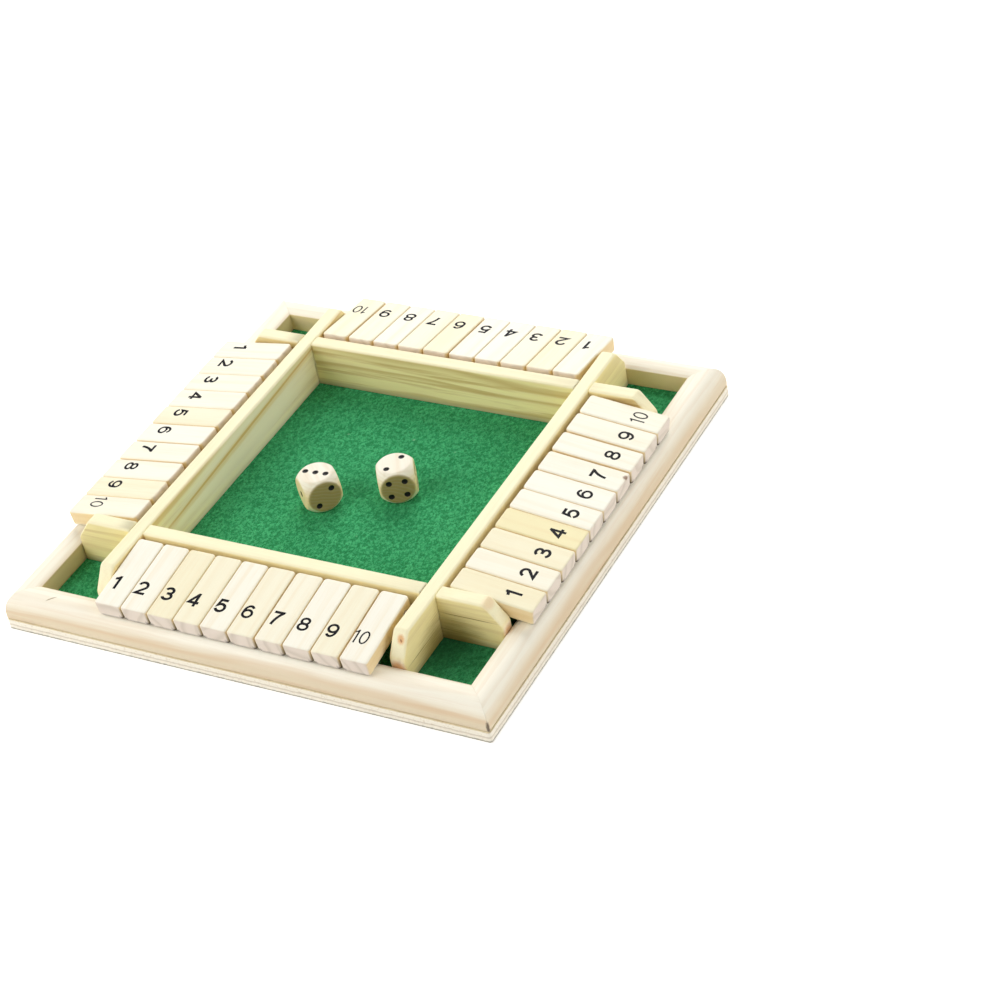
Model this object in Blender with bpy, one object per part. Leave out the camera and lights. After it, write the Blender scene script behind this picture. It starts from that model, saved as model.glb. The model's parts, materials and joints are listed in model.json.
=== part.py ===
"""Four-player shut the box game in wood, at its real size in metres, with +Z up.

A square frame of rounded rails stands on a plywood base, round a felt lining and four
crossed dividers. Each side has ten flaps that swing on a steel rod beside its divider, from
sloping out on to the frame to leaning in on the divider. Two dice lie in the middle.
The origin is the middle of the underside. The front side faces -Y, and each of the
other sides is the front one turned about Z.
"""
import math

import bmesh
import bpy
from mathutils import Vector

# Clearances: fixed pieces to their seats, a bore round its rod, a socket round a rod's end
SEAT_GAP = 0.0003
BORE_CLEARANCE = 0.00006
SOCKET_CLEARANCE = 0.0001

# How far a cutting shape runs past the surface that it cuts
CUT_OVERRUN = 0.002

# Base: a square of plywood that stands a little proud of the frame, with felt glued on it
BASE_THICKNESS = 0.0050
BASE_LEDGE = 0.0004
BASE_CORNER_RADIUS = 0.0012
FELT_THICKNESS = 0.0017

# Flaps: blocks side by side on a rod, free to slide a little along it
FLAPS_PER_SIDE = 10
FLAP_LENGTH = 0.03535
FLAP_WIDTH = 0.0121
FLAP_THICKNESS = 0.0073
FLAP_SIDE_GAP = 0.0003
FLAP_EDGE_RADIUS = 0.0006
FLAP_INNER_CORNER_RADIUS = 0.0014
FLAP_OUTER_CORNER_RADIUS = 0.0008
FLAP_ROW_PLAY = 0.0037

# Where the rows have slid apart: the number of a flap, and the share of its row's play before it
ROW_SLIDE_SHARES = {
    "front": {7: 0.08, 8: 0.03, 9: 0.03, 10: 0.09},
    "right": {3: 0.04, 4: 0.06, 7: 0.06, 8: 0.20, 9: 0.18, 10: 0.06},
    "back": {1: 0.64, 6: 0.12, 10: 0.14},
    "left": {1: 0.27, 6: 0.09, 7: 0.12, 8: 0.13},
}

# The bore's place in a flap, and the room that a flap's inner end has to swing past the divider
FLAP_BORE_INSET = 0.0053
FLAP_BORE_LIFT = 0.0029
FLAP_SWING_CLEARANCE = 0.0003

# Rods: radius, distance of the axis below the dividers' top, depth of the sockets
ROD_RADIUS = 0.0012
ROD_DROP = 0.0052
ROD_SOCKET_DEPTH = 0.0035

# Dividers: strips on edge that cross near the corners, with their ends sloped down
DIVIDER_THICKNESS = 0.0066
DIVIDER_HEIGHT = 0.0208
DIVIDER_EASE = 0.0012
DIVIDER_SLOPE_RUN = 0.0070
DIVIDER_SLOPE_DROP = 0.0093

# Frame rails: a crown over the inner wall, and a round shoulder that falls to an upright side
RAIL_WIDTH = 0.0120
RAIL_HEIGHT = 0.0110
RAIL_CROWN_RISE = 0.0026
RAIL_CREST_INSET = 0.0052
RAIL_SIDE_HEIGHT = 0.0012

# How far the open flaps' outer ends reach over the frame
FLAP_REACH_ON_RAIL = 0.0093

# The shoulder's squareness: 2 is an ellipse, and more is squarer
SHOULDER_SQUARENESS = 2.3

# Dice: a cube cut out of a ball, as wide as this share of the cube's side
DIE_SIDE = 0.0156
DIE_BALL_SHARE = 1.32

# Where each die lies, in shares of half the field, and how far it is turned
DIE_PLACE_SHARES = {"die_a": (-0.297, -0.160), "die_b": (0.160, 0.065)}
DIE_TURNS = {"die_a": math.radians(50.2), "die_b": math.radians(31.8)}

# Facets of each round form
CROWN_STEPS = 5
SHOULDER_STEPS = 8
CORNER_STEPS = 3
EASE_STEPS = 2
ROUND_SIDES = 12
BALL_SUBDIVISIONS = 3
SMOOTH_ANGLE = math.radians(35)

# The row of flaps sets the field, and the flaps' swing and length set the frame's opening
FLAP_PITCH = FLAP_WIDTH + FLAP_SIDE_GAP
ROW_LENGTH = FLAPS_PER_SIDE * FLAP_PITCH - FLAP_SIDE_GAP
FIELD_HALF = (ROW_LENGTH + 2 * SEAT_GAP + FLAP_ROW_PLAY) / 2
DIVIDER_OUTER = FIELD_HALF + DIVIDER_THICKNESS
DIVIDER_MIDDLE = FIELD_HALF + DIVIDER_THICKNESS / 2
FLAP_SWING_RADIUS = math.hypot(FLAP_BORE_INSET, FLAP_THICKNESS - FLAP_BORE_LIFT)
ROD_PLACE = DIVIDER_OUTER + FLAP_SWING_CLEARANCE + FLAP_SWING_RADIUS
OPENING_HALF = ROD_PLACE + FLAP_LENGTH - FLAP_BORE_INSET - FLAP_REACH_ON_RAIL

# Levels above the underside
RAIL_BOTTOM = BASE_THICKNESS + SEAT_GAP
RAIL_TOP = RAIL_BOTTOM + RAIL_HEIGHT
FELT_BOTTOM = BASE_THICKNESS + SEAT_GAP
FELT_TOP = FELT_BOTTOM + FELT_THICKNESS
DIVIDER_BOTTOM = FELT_TOP + SEAT_GAP
DIVIDER_TOP = DIVIDER_BOTTOM + DIVIDER_HEIGHT
LAP_LEVEL = DIVIDER_BOTTOM + DIVIDER_HEIGHT / 2
ROD_LEVEL = DIVIDER_TOP - ROD_DROP

# A faceted bore is nearest to the rod at the middles of its sides
FACET_SHRINK = math.cos(math.pi / ROUND_SIDES)
BORE_RADIUS = (ROD_RADIUS + BORE_CLEARANCE) / FACET_SHRINK
SOCKET_RADIUS = (ROD_RADIUS + SOCKET_CLEARANCE) / FACET_SHRINK


def clear_scene():
    """Remove the objects that the scene starts with."""
    for leftover in list(bpy.data.objects):
        bpy.data.objects.remove(leftover, do_unlink=True)


def material(name, colour, roughness, metallic=0.0):
    """A plain finish: linear colour, roughness and metallic value."""
    finish = bpy.data.materials.new(name)
    finish.use_nodes = True
    shader = finish.node_tree.nodes["Principled BSDF"]
    shader.inputs["Base Color"].default_value = (*colour, 1.0)
    shader.inputs["Roughness"].default_value = roughness
    shader.inputs["Metallic"].default_value = metallic
    return finish


def pine_frame():
    return material("pine_frame", (0.83, 0.72, 0.52), 0.55)


def pine_divider():
    return material("pine_divider", (0.80, 0.68, 0.46), 0.55)


def pine_flap():
    return material("pine_flap", (0.86, 0.77, 0.58), 0.50)


def plywood_base():
    return material("plywood_base", (0.66, 0.51, 0.33), 0.65)


def green_felt():
    return material("green_felt", (0.02, 0.25, 0.09), 0.95)


def steel_rod():
    return material("steel_rod", (0.62, 0.61, 0.59), 0.30, 1.0)


def beech_die():
    return material("beech_die", (0.82, 0.70, 0.50), 0.45)


def arc(centre, radii, start, end, steps):
    """Points along an ellipse's arc, as pairs, with both ends included."""
    points = []
    for step in range(steps + 1):
        angle = start + (end - start) * step / steps
        points.append((centre[0] + radii[0] * math.cos(angle), centre[1] + radii[1] * math.sin(angle)))
    return points


def mesh_from(name, shape):
    """Turn an edited shape into a mesh with smooth rounds and crisp edges."""
    bmesh.ops.recalc_face_normals(shape, faces=shape.faces)
    mesh = bpy.data.meshes.new(name)
    shape.to_mesh(mesh)
    shape.free()
    mesh.shade_smooth()
    mesh.set_sharp_from_angle(angle=SMOOTH_ANGLE)
    return mesh


def extruded(outline, travel):
    """A closed body: the outline's face pushed along a vector."""
    shape = bmesh.new()
    face = shape.faces.new([shape.verts.new(point) for point in outline])
    pushed = bmesh.ops.extrude_face_region(shape, geom=[face], use_keep_orig=True)
    moved = [item for item in pushed["geom"] if isinstance(item, bmesh.types.BMVert)]
    bmesh.ops.translate(shape, verts=moved, vec=travel)
    return shape


def block(name, size, centre):
    """A plain rectangular block."""
    shape = bmesh.new()
    bmesh.ops.create_cube(shape, size=1)
    bmesh.ops.scale(shape, vec=size, verts=shape.verts)
    bmesh.ops.translate(shape, vec=centre, verts=shape.verts)
    return mesh_from(name, shape)


def bar(name, radius, length, centre, axis):
    """A round bar along the X or Y axis."""
    shape = bmesh.new()
    bmesh.ops.create_cone(shape, cap_ends=True, segments=ROUND_SIDES, radius1=radius, radius2=radius, depth=length)
    turn = Vector((0, 0, 1)).rotation_difference(Vector(axis)).to_matrix()
    bmesh.ops.rotate(shape, verts=shape.verts, matrix=turn)
    bmesh.ops.translate(shape, vec=centre, verts=shape.verts)
    return mesh_from(name, shape)


def cut_away(body, cutters):
    """The body's mesh after every cutter's volume is taken out of it."""
    worked = bpy.data.objects.new(body.name, body)
    bpy.context.collection.objects.link(worked)
    tools = []
    for cutter in cutters:
        tool = bpy.data.objects.new(cutter.name, cutter)
        bpy.context.collection.objects.link(tool)
        cut = worked.modifiers.new(cutter.name, "BOOLEAN")
        cut.operation = "DIFFERENCE"
        cut.solver = "EXACT"
        cut.object = tool
        tools.append(tool)
    bpy.context.view_layer.update()
    finished = worked.evaluated_get(bpy.context.evaluated_depsgraph_get())
    mesh = bpy.data.meshes.new_from_object(finished)
    for used in [worked, *tools]:
        bpy.data.objects.remove(used, do_unlink=True)
    return mesh


def add_piece(name, mesh, finish, parent=None, location=(0, 0, 0)):
    """Put a named piece in the scene."""
    if not mesh.materials:
        mesh.materials.append(finish)
    piece = bpy.data.objects.new(name, mesh)
    piece.location = location
    piece.parent = parent
    bpy.context.collection.objects.link(piece)
    return piece


def base_board(finish):
    """The base under the whole game: a square with small round corners."""
    reach = OPENING_HALF + RAIL_WIDTH + BASE_LEDGE - BASE_CORNER_RADIUS
    radii = (BASE_CORNER_RADIUS, BASE_CORNER_RADIUS)
    outline = []
    for quarter in range(4):
        start = quarter * math.pi / 2
        corner = (reach if quarter in (0, 3) else -reach, reach if quarter < 2 else -reach)
        outline += [(x, y, 0) for x, y in arc(corner, radii, start, start + math.pi / 2, CORNER_STEPS)]
    shape = extruded(outline, (0, 0, BASE_THICKNESS))
    add_piece("base_board", mesh_from("base_board", shape), finish)


def felt_lining(finish):
    """One sheet of felt from wall to wall, under the dividers."""
    side = 2 * (OPENING_HALF - SEAT_GAP)
    mesh = block("felt_lining", (side, side, FELT_THICKNESS), (0, 0, FELT_BOTTOM + FELT_THICKNESS / 2))
    add_piece("felt_lining", mesh, finish)


def rail_outline():
    """The rail's section: distance out from the inner wall, and level above the underside."""
    wall_top = RAIL_TOP - RAIL_CROWN_RISE
    shoulder_width = RAIL_WIDTH - RAIL_CREST_INSET
    shoulder_foot = RAIL_BOTTOM + RAIL_SIDE_HEIGHT
    shoulder_drop = RAIL_TOP - shoulder_foot

    crown = arc((RAIL_CREST_INSET, wall_top), (RAIL_CREST_INSET, RAIL_CROWN_RISE), math.pi, math.pi / 2, CROWN_STEPS)
    shoulder = []
    for step in range(1, SHOULDER_STEPS):
        angle = math.pi / 2 * step / SHOULDER_STEPS
        out = math.sin(angle) ** (2 / SHOULDER_SQUARENESS)
        up = math.cos(angle) ** (2 / SHOULDER_SQUARENESS)
        shoulder.append((RAIL_CREST_INSET + shoulder_width * out, shoulder_foot + shoulder_drop * up))
    side = [(RAIL_WIDTH, shoulder_foot), (RAIL_WIDTH, RAIL_BOTTOM), (0, RAIL_BOTTOM)]
    return crown + shoulder + side


def rail_mesh():
    """A length of rail with both ends mitred, along the front side."""
    setback = SEAT_GAP / 2 * math.sqrt(2)
    section = [(-OPENING_HALF, -OPENING_HALF - out, level) for out, level in rail_outline()]
    shape = extruded(section, (2 * OPENING_HALF, 0, 0))
    for vert in shape.verts:
        vert.co.x = math.copysign(-vert.co.y - setback, vert.co.x)
    return mesh_from("frame_rail", shape)


def divider_strip():
    """A divider before its joints are cut: sloped ends, and eased along the top and ends."""
    end = OPENING_HALF - SEAT_GAP
    slope_start = end - DIVIDER_SLOPE_RUN
    slope_foot = DIVIDER_TOP - DIVIDER_SLOPE_DROP
    side_view = [
        (-end, DIVIDER_BOTTOM),
        (end, DIVIDER_BOTTOM),
        (end, slope_foot),
        (slope_start, DIVIDER_TOP),
        (-slope_start, DIVIDER_TOP),
        (-end, slope_foot),
    ]
    outline = [(across, -DIVIDER_OUTER, level) for across, level in side_view]
    shape = extruded(outline, (0, DIVIDER_THICKNESS, 0))
    eased = []
    for edge in shape.edges:
        start, stop = edge.verts
        along_face = abs(start.co.y - stop.co.y) < DIVIDER_THICKNESS / 2
        rises = (start.co.z + stop.co.z) / 2 > DIVIDER_BOTTOM + DIVIDER_EASE
        if along_face and rises:
            eased.append(edge)
    bmesh.ops.bevel(shape, geom=eased, offset=DIVIDER_EASE, segments=EASE_STEPS, profile=0.5, affect="EDGES")
    return mesh_from("divider_strip", shape)


def lap_notches(bottom, top):
    """Two blocks that notch a divider where the others cross it."""
    width = DIVIDER_THICKNESS + 2 * SEAT_GAP
    depth = DIVIDER_THICKNESS + 2 * CUT_OVERRUN
    notches = []
    for way in (-1, 1):
        centre = (way * DIVIDER_MIDDLE, -DIVIDER_MIDDLE, (bottom + top) / 2)
        notches.append(block("lap_notch", (width, depth, top - bottom), centre))
    return notches


def rod_sockets():
    """Two bars that bore the blind holes for the ends of the rods beside a divider."""
    length = ROD_SOCKET_DEPTH + CUT_OVERRUN
    middle = -FIELD_HALF + CUT_OVERRUN - length / 2
    sockets = []
    for way in (-1, 1):
        centre = (way * ROD_PLACE, middle, ROD_LEVEL)
        sockets.append(bar("rod_socket", SOCKET_RADIUS, length, centre, (0, 1, 0)))
    return sockets


def lower_divider_mesh():
    """The front and back dividers: notched from above, to carry the ones that cross them."""
    notches = lap_notches(LAP_LEVEL - SEAT_GAP / 2, DIVIDER_TOP + CUT_OVERRUN)
    return cut_away(divider_strip(), notches + rod_sockets())


def upper_divider_mesh():
    """The left and right dividers: notched from below, with an unbroken top."""
    notches = lap_notches(DIVIDER_BOTTOM - CUT_OVERRUN, LAP_LEVEL + SEAT_GAP / 2)
    return cut_away(divider_strip(), notches + rod_sockets())


def rod_mesh():
    """A rod with its ends in the sockets of the dividers at both ends of the row."""
    length = 2 * (FIELD_HALF + ROD_SOCKET_DEPTH - SEAT_GAP)
    return bar("flap_rod", ROD_RADIUS, length, (0, 0, 0), (1, 0, 0))


def rest_tilt():
    """How far the open flaps slope down from the rod until their undersides meet the frame."""
    sink = FLAP_BORE_LIFT + SEAT_GAP
    tilts = []
    for out, level in rail_outline():
        across = OPENING_HALF + out - ROD_PLACE
        down = ROD_LEVEL - level
        tilts.append(math.acos(sink / math.hypot(across, down)) - math.atan2(across, down))
    return min(tilts)


def flap_plan():
    """The flap from above, about its rod: the inner corners are rounder than the outer ones."""
    inner = FLAP_BORE_INSET
    outer = FLAP_BORE_INSET - FLAP_LENGTH
    points = []
    for quarter in range(4):
        radius = FLAP_INNER_CORNER_RADIUS if quarter < 2 else FLAP_OUTER_CORNER_RADIUS
        side = FLAP_WIDTH / 2 - radius if quarter in (0, 3) else radius - FLAP_WIDTH / 2
        end = inner - radius if quarter < 2 else outer + radius
        start = quarter * math.pi / 2
        points += arc((side, end), (radius, radius), start, start + math.pi / 2, CORNER_STEPS)
    return points


def flap_mesh():
    """A flap that lies out from its rod, with its edges eased and its bore cut."""
    outline = [(across, along, -FLAP_BORE_LIFT) for across, along in flap_plan()]
    shape = extruded(outline, (0, 0, FLAP_THICKNESS))
    rims = [edge for edge in shape.edges if abs(edge.verts[0].co.z - edge.verts[1].co.z) < FLAP_THICKNESS / 2]
    bmesh.ops.bevel(shape, geom=rims, offset=FLAP_EDGE_RADIUS, segments=EASE_STEPS, profile=0.5, affect="EDGES")
    body = mesh_from("flap_body", shape)
    bore = bar("flap_bore", BORE_RADIUS, FLAP_WIDTH + 2 * CUT_OVERRUN, (0, 0, 0), (1, 0, 0))
    return cut_away(body, [bore])


def flap_places(name):
    """Each flap's place along its rod, counted on from the divider beside the first one."""
    slides = ROW_SLIDE_SHARES[name]
    place = FLAP_WIDTH / 2 + SEAT_GAP - FIELD_HALF - FLAP_PITCH
    places = []
    for number in range(1, FLAPS_PER_SIDE + 1):
        place += FLAP_PITCH + slides.get(number, 0) * FLAP_ROW_PLAY
        places.append(place)
    return places


def die_mesh():
    """A cube with its corners and edges rounded off by a ball."""
    half = DIE_SIDE / 2
    shape = bmesh.new()
    bmesh.ops.create_icosphere(shape, subdivisions=BALL_SUBDIVISIONS, radius=half * DIE_BALL_SHARE)
    for axis in range(3):
        for way in (-1, 1):
            normal = Vector((0, 0, 0))
            normal[axis] = way
            everything = shape.verts[:] + shape.edges[:] + shape.faces[:]
            cut = bmesh.ops.bisect_plane(shape, geom=everything, plane_co=normal * half, plane_no=normal,
                                         clear_outer=True)
            rim = [item for item in cut["geom_cut"] if isinstance(item, bmesh.types.BMEdge)]
            bmesh.ops.contextual_create(shape, geom=rim)
    return mesh_from("die", shape)


def build_side(name, quarter_turns, meshes, finishes):
    """One side of the game: its rail, divider, rod and row of flaps, turned into place."""
    side = bpy.data.objects.new(name + "_side", None)
    side.rotation_euler.z = quarter_turns * math.pi / 2
    bpy.context.collection.objects.link(side)
    divider = meshes["upper_divider"] if quarter_turns % 2 else meshes["lower_divider"]
    add_piece("frame_rail_" + name, meshes["rail"], finishes["frame"], side)
    add_piece("divider_" + name, divider, finishes["divider"], side)
    add_piece("rod_" + name, meshes["rod"], finishes["rod"], side, (0, -ROD_PLACE, ROD_LEVEL))
    tilt = rest_tilt()
    for number, place in enumerate(flap_places(name), 1):
        flap = add_piece(f"flap_{name}_{number:02d}", meshes["flap"], finishes["flap"], side,
                         (place, -ROD_PLACE, ROD_LEVEL))
        flap.rotation_euler.x = tilt


def dice(finish):
    """The two dice, each flat on the felt and turned its own way."""
    mesh = die_mesh()
    level = FELT_TOP + SEAT_GAP + DIE_SIDE / 2
    for name, shares in DIE_PLACE_SHARES.items():
        place = (shares[0] * FIELD_HALF, shares[1] * FIELD_HALF, level)
        die = add_piece(name, mesh, finish, None, place)
        die.rotation_euler.z = DIE_TURNS[name]


def main():
    clear_scene()
    base_board(plywood_base())
    felt_lining(green_felt())
    meshes = {
        "rail": rail_mesh(),
        "lower_divider": lower_divider_mesh(),
        "upper_divider": upper_divider_mesh(),
        "rod": rod_mesh(),
        "flap": flap_mesh(),
    }
    finishes = {"frame": pine_frame(), "divider": pine_divider(), "rod": steel_rod(), "flap": pine_flap()}
    for quarter_turns, name in enumerate(("front", "right", "back", "left")):
        build_side(name, quarter_turns, meshes, finishes)
    dice(beech_die())


main()
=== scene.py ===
"""Looks of the four-player shut the box game: planed pine, green felt, steel rods and wooden dice.

Sizes are in millimetres unless a comment says otherwise, and turn to metres when a mesh is made.
Each side of the game is worked out as the front one, along X and facing -Y, then turned about Z.
"""

import json
import math

import bmesh
import bpy
import numpy as np
from mathutils import Matrix, Vector


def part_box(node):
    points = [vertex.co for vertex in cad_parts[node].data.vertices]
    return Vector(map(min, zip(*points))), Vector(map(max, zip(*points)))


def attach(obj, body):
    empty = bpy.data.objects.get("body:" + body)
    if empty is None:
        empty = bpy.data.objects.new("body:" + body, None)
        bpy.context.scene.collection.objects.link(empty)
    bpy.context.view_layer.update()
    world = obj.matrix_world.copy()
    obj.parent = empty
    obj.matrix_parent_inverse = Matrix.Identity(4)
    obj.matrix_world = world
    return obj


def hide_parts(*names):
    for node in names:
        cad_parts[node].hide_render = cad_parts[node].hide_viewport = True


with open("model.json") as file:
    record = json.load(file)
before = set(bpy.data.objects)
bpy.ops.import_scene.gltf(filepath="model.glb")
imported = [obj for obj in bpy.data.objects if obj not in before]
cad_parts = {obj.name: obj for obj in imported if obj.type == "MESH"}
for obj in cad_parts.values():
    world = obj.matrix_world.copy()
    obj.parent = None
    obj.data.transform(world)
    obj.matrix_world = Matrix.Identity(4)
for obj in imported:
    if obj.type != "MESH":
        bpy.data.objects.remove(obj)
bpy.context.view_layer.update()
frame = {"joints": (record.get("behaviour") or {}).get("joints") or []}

MM = 0.001
SIDES = ("front", "right", "back", "left")
CHANCE = np.random.default_rng(11)

# Levels and places of the tray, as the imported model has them
BASE_TOP = 5.0
FELT_BOTTOM = 5.3
FELT_TOP = 7.0
DIVIDER_BOTTOM = 7.3
DIVIDER_TOP = 28.1
LAP_LEVEL = 17.7
FIELD_HALF = 64.0
DIVIDER_THICKNESS = 6.6
ROD_PLACE = 77.788
ROD_LEVEL = 22.9
OPENING_HALF = 98.538
SEAT_GAP = 0.3

# Flaps: size, the bore's place, the rounding of their edges and corners, and where their meshes are divided
FLAP_WIDTH = 12.1
FLAP_LENGTH = 35.35
FLAP_THICKNESS = 7.3
FLAP_BORE_INSET = 5.3
FLAP_BORE_LIFT = 2.9
FLAP_TOP_ROUND = 0.85
FLAP_BOTTOM_ROUND = 1.5
FLAP_CORNER_ROUND = 1.5
FLAP_OUTER_ROUND = 0.9
FLAP_END_ROUND = 0.7
FLAT_END_INSET = 0.8
UNDERSIDE_RIM = 0.7
FLAP_MIDDLE_STATIONS = (8.0, 20.0)

# Painted shade on the flaps' outer ends: its depth along the flap, and how far it reaches round a corner and
# up a rim
NOOK_SHADE_DEPTH = 2.0
NOOK_SHADE_FADE = 1.1
SHADE_CORNER_REACH, SHADE_CORNER_FADE, SHADE_CORNER_SHARE = 2.31, 1.05, 0.95
SHADE_RIM_REACH, SHADE_RIM_FADE, SHADE_RIM_SHARE = 0.96, 0.60, 0.75

# Rods, the bores that run on them, and the sockets that hold their ends
ROD_RADIUS = 1.2
ROD_END_DEPTH = 3.2
ROD_END_EASE = 0.25
ROD_SIDES = 40
BORE_RADIUS = 1.27
SOCKET_RADIUS = 1.3
BORE_SIDES = 48

# Dividers: the eased edges, the band of painted shade at the foot, the sloped ends with their small rounds,
# and where their meshes are divided
DIVIDER_EASE = 1.2
FOOT_SHADE_HEIGHT = 3.2
DIVIDER_SLOPE_RUN = 7.0
DIVIDER_SLOPE_DROP = 9.3
DIVIDER_BEND_HALF = 0.9
DIVIDER_END_ROUND = 1.0
DIVIDER_MOST_INSET = 0.9
DIVIDER_MIDDLE_STATIONS = (0.0, 30.0)
DIVIDER_OUTER_STATION = 80.0
DIVIDER_SLOPE_INSETS = (2.5, 1.2)
NOTCH_EASE = 0.02
NOTCH_WALL = 0.001

# Frame rails: a crown over the inner wall, and a round shoulder that falls to an upright side
RAIL_WIDTH = 12.0
RAIL_BOTTOM = 5.3
RAIL_TOP = 16.3
RAIL_CROWN_RISE = 3.0
RAIL_CREST_INSET = 5.2
CROWN_REACH = 6.0
RAIL_SIDE_HEIGHT = 1.2
RAIL_FOOT_ROUND = 0.3
SHOULDER_SQUARENESS = 2.3
MITRE_SETBACK = 0.04

# Base: how far it stands out past the frame, its corners in plan, and its eased rims
BASE_PROUD = 0.4
BASE_HALF = OPENING_HALF + RAIL_WIDTH + BASE_PROUD
BASE_CORNER_ROUND = 1.2
BASE_RIM_ROUND = 0.35

# Dice
DIE_SIDE = 15.6
DIE_BALL_SHARE = 1.32
PIP_SPREAD = 3.28
PIP_RADIUS = 1.28
PIP_DEPTH = 0.45
PAINT_EDGE = 0.06
DIE_GRID = 73
DIE_BLEND = 7.0
DIE_TURNS = {"die_a": 50.2, "die_b": 31.8}

# Felt: points along a side, and the nap's heights by the number of points from one hump to the next
FELT_GRID = 281
NAP_HEIGHTS = {1: 0.10, 4: 0.08, 16: 0.06}
NAP_SINK = 0.08

# Printed numbers: height and stroke, and their place on the flap's top, from the rod and from its middle
DIGIT_HEIGHT = 6.8
DIGIT_STROKE = 1.2
LOOPED_STROKE = 1.05
TEN_STROKE = 0.66
TEN_HEIGHT = 6.4
DIGIT_REACH = {"front": 18.4, "right": 19.0, "back": 19.4, "left": 19.3}
DIGIT_SHIFT = {"front": -2.3, "right": 0.0, "back": 1.1, "left": -1.6}
INK_SINK = 0.05
INK_RISE = 0.02
INK_OVERLAP_RISE = 0.004

# How yellow each flap is, from 0 for the palest pine to 1
FLAP_TONES = {
    "front": (0.10, 0.12, 0.55, 0.45, 0.15, 0.40, 0.30, 0.15, 0.42, 0.12),
    "right": (0.60, 0.25, 0.55, 0.90, 0.15, 0.10, 0.15, 0.15, 0.20, 0.20),
    "back": (0.20, 0.50, 0.35, 0.15, 0.15, 0.50, 0.40, 0.20, 0.35, 0.45),
    "left": (0.15, 0.20, 0.20, 0.15, 0.45, 0.12, 0.15, 0.15, 0.50, 0.20),
}

# Knots and lines that show in the wood, and on the strips patches of painted shade and painted light: middle,
# turn about X, Y or Z in degrees, reach along them, and colour
FRAME_MARKS = [
    ((-88.95, -105.0, 16.2), (0, 0, 37.7), (2.6, 0.34, 1.5), "a08a60"),
    ((110.45, -110.45, 7.2), (0, 0, 0), (1.0, 1.0, 3.6), "4a3220"),
]
DIVIDER_MARKS_AND_PAINTED_SHADING = [
    ((68.0, -93.6, 25.0), (0, 0, 20), (1.7, 2.3, 2.2), "e2a866"),
    ((68.3, -94.0, 24.8), (0, 0, 50), (0.42, 1.0, 0.7), "9a5c36"),
    ((67.3, -98.2, 14.5), (0, 0, 0), (3.6, 2.0, 3.6), "dba46c"),
    ((98.2, -67.3, 14.5), (0, 0, 0), (2.0, 3.6, 3.6), "e0b27c"),
    ((92.8, -67.3, 27.4), (0, 0, 0), (3.6, 5.0, 2.6), "f1d8ac"),
    # Painted shade: the front right pocket's walls darker towards their foot and inner corner
    ((76.0, -76.0, 3.0), (0, 0, 0), (17.0, 17.0, 18.0), "8e7c34"),
    ((70.6, -84.0, 14.2), (0, 0, 0), (1.0, 14.5, 0.22), "8a7038"),
    ((83.5, -70.6, 20.1), (0, 0, 0), (13.0, 1.0, 0.22), "8a7038"),
    # Painted light: the left strip's inner wall made paler over most of its face
    ((-64.0, 5.0, 18.5), (0, 0, 0), (1.2, 78.0, 13.5), "fdf1d3"),
    ((-64.0, 6.0, 21.6), (3.4, 0, 0), (1.2, 95.0, 2.4), "edd49c"),
    ((-64.0, 6.0, 22.1), (3.4, 0, 0), (1.2, 95.0, 0.8), "d8b06c"),
    ((-64.0, -52.0, 26.2), (1.0, 0, 0), (1.2, 44.0, 1.8), "e8c888"),
]
FLAP_MARKS = [
    ((107.5, 20.1, 23.4), (0, 0, 0), (1.2, 1.4, 1.1), "7a5230"),
]

# Middle of the painted shade on the felt in the front right pocket
POCKET_SHADE_CORNER = (72.0, -72.0, 7.0)

# Camera: its place and aim in metres, its roll, and its lens on a sensor 36 mm wide
CAMERA_PLACE = Vector((0.5140, -0.6697, 0.6313))
CAMERA_AIM = Vector((0.0492, 0.0168, 0.0022))
CAMERA_ROLL = math.radians(-11.458)
CAMERA_LENS = 91.78

# Table: a round top in metres, a hair below the game, its own glow near the game, and where that rises
TABLE_RADIUS = 4.0
TABLE_SIDES = 64
TABLE_DROP = 0.0002
TABLE_GLOW = 0.50
TABLE_GLOW_START, TABLE_GLOW_END = 0.6, 1.5

# Light: how much of the room's white falls on the game, and the lamps' sides in metres, watts and places
ROOM_LEVEL = 0.12
LAMPS = {
    "back_softbox": (1.4, 22.2, (-0.300, 1.240, 0.962)),
    "front_left_softbox": (1.6, 25.0, (-1.030, -0.927, 0.800)),
    "right_softbox": (1.4, 14.3, (1.504, 0.0, 0.547)),
}


def linear(code):
    """An sRGB colour such as c8a070 as linear red, green and blue with full cover."""
    parts = [int(code[place:place + 2], 16) / 255 for place in (0, 2, 4)]
    return (*[part / 12.92 if part <= 0.04045 else ((part + 0.055) / 1.055) ** 2.4 for part in parts], 1.0)


def node(tree, kind, sockets=None, stops=None, **settings):
    """Add a node, set it, fill its sockets with values or other nodes' results, and give a ramp its stops."""
    made = tree.nodes.new("ShaderNode" + kind)
    for name, value in settings.items():
        setattr(made, name, value)
    for key, value in (sockets or {}).items():
        if isinstance(value, bpy.types.Node):
            value = next(result for result in value.outputs if result.enabled)
        if isinstance(value, bpy.types.NodeSocket):
            tree.links.new(value, made.inputs[key])
        else:
            made.inputs[key].default_value = value
    if stops:
        ramp = made.color_ramp
        while len(ramp.elements) < len(stops):
            ramp.elements.new(0.5)
        for element, (place, level) in zip(ramp.elements, stops):
            element.position = place
            element.color = (level, level, level, 1.0)
    return made


def laid_over(tree, colour, layers):
    """Colours laid one over another, each by its own share."""
    for share, code in layers:
        colour = node(tree, "Mix", {0: share, 6: colour, 7: linear(code)}, data_type="RGBA")
    return colour


def finish_of(name, **sockets):
    """A new material with its main shader, whose named sockets get values that hold all over the surface."""
    finish = bpy.data.materials.new(name)
    finish.use_nodes = True
    tree = finish.node_tree
    tree.nodes.clear()
    shader = node(tree, "BsdfPrincipled", {key.replace("_", " "): value for key, value in sockets.items()})
    node(tree, "OutputMaterial", {"Surface": shader})
    return finish, tree, shader


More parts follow.
